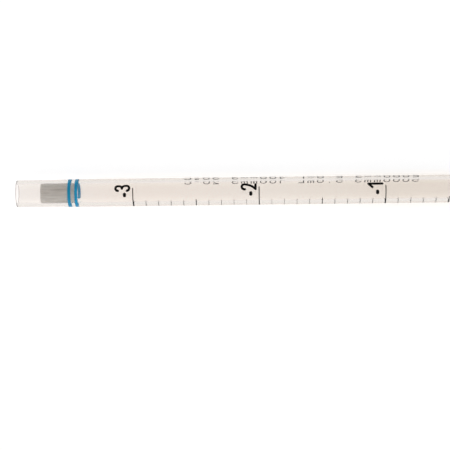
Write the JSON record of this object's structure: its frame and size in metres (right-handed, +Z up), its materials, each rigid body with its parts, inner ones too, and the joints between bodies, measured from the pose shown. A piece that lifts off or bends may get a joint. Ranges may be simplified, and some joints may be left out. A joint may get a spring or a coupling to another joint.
{
  "type": "graduated pipette",
  "caption": "Long clear plastic tube with a drawn tip, a fibre filter plug in its mouth, two colour rings and printed volume scales.",
  "frame": {"origin": "on the surface that the pipette lies on, under the middle of its length", "axes": "+X along the tube from the mouthpiece to the tip, +Z up, angles round the tube from the top"},
  "size_m": [0.343, 0.008, 0.0081],
  "materials": {
    "clear_tube": "clear polystyrene, glossy, very slightly warm",
    "filter_fibre": "off-white pressed fibre with lengthwise strands",
    "ring_ink": "blue printing ink, which lets some light through",
    "scale_ink": "black printing ink"
  },
  "bodies": {
    "pipette": {"tube": "clear_tube", "colour_ring_1": "ring_ink", "colour_ring_2": "ring_ink", "negative_minor_marks": "scale_ink", "negative_half_marks": "scale_ink", "negative_major_marks": "scale_ink", "positive_minor_marks": "scale_ink", "positive_half_marks": "scale_ink", "positive_major_marks": "scale_ink", "numeral_minus_3": "scale_ink", "numeral_minus_2": "scale_ink", "numeral_minus_1": "scale_ink", "numeral_0": "scale_ink", "numeral_1": "scale_ink", "numeral_2": "scale_ink", "numeral_3": "scale_ink", "numeral_4": "scale_ink", "reverse_numeral_1": "scale_ink", "reverse_numeral_2": "scale_ink", "reverse_numeral_3": "scale_ink", "reverse_numeral_4": "scale_ink", "reverse_numeral_5": "scale_ink", "capacity_text": "scale_ink"},
    "plug": {"filter_plug": "filter_fibre"}
  },
  "joints": [
    {"name": "plug_pull", "type": "slide", "parent": "pipette", "child": "plug", "axis": [-1, 0, 0], "range_m": [0, 0.0178]}
  ]
}
